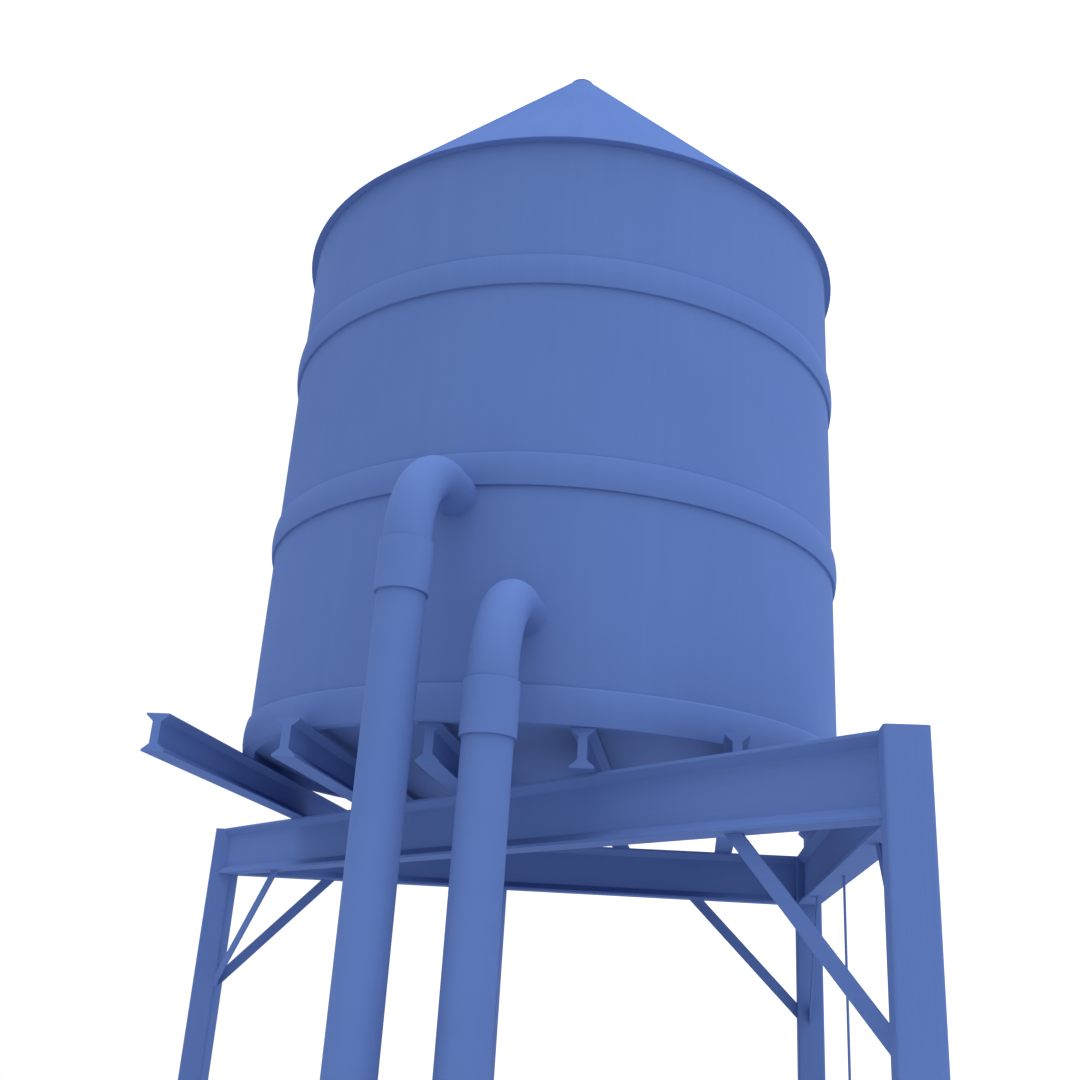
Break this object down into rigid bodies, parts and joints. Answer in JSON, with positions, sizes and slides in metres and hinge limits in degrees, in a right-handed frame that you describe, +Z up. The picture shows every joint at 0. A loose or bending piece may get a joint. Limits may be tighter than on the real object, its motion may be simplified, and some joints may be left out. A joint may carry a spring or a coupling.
{
  "type": "water tower",
  "caption": "Round steel water tank with a steep conical roof, hoops and elbowed filling pipes, carried by joists on a three-sided frame of girders, braced columns and plate feet.",
  "frame": {"origin": "middle of the tower's bounding box at ground level", "axes": "+Z up, +X along the rear girder towards the side girder, +Y along the joists from the pipes' side to the rear girder"},
  "size_m": [5.141, 5.373, 8.994],
  "materials": {
    "tank_paint": "matte",
    "roof_paint": "matte",
    "frame_paint": "matte",
    "pipe_paint": "matte"
  },
  "bodies": {
    "root": {"bottom_hoop": "tank_paint", "diagonal_girder": "frame_paint", "earth_rod": "frame_paint", "eave_plate": "roof_paint", "front_base_plate": "frame_paint", "front_column": "frame_paint", "front_diagonal_brace": "frame_paint", "front_side_brace": "frame_paint", "joist_1": "frame_paint", "joist_2": "frame_paint", "joist_3": "frame_paint", "joist_4": "frame_paint", "joist_5": "frame_paint", "joist_6": "frame_paint", "left_base_plate": "frame_paint", "left_column": "frame_paint", "left_diagonal_brace": "frame_paint", "left_elbow": "pipe_paint", "left_pipe_flange": "pipe_paint", "left_rear_brace": "frame_paint", "left_riser": "pipe_paint", "left_sleeve": "pipe_paint", "middle_base_plate": "frame_paint", "middle_column": "frame_paint", "middle_hoop": "tank_paint", "rear_girder": "frame_paint", "right_base_plate": "frame_paint", "right_column": "frame_paint", "right_elbow": "pipe_paint", "right_pipe_flange": "pipe_paint", "right_rear_brace": "frame_paint", "right_riser": "pipe_paint", "right_side_brace": "frame_paint", "right_sleeve": "pipe_paint", "roof_cap": "roof_paint", "roof_cone": "roof_paint", "side_girder": "frame_paint", "tank_floor": "tank_paint", "tank_wall_1": "tank_paint", "tank_wall_2": "tank_paint", "tank_wall_3": "tank_paint", "tank_wall_4": "tank_paint", "tank_wall_5": "tank_paint", "tank_wall_6": "tank_paint", "top_hoop": "tank_paint"}
  },
  "joints": []
}
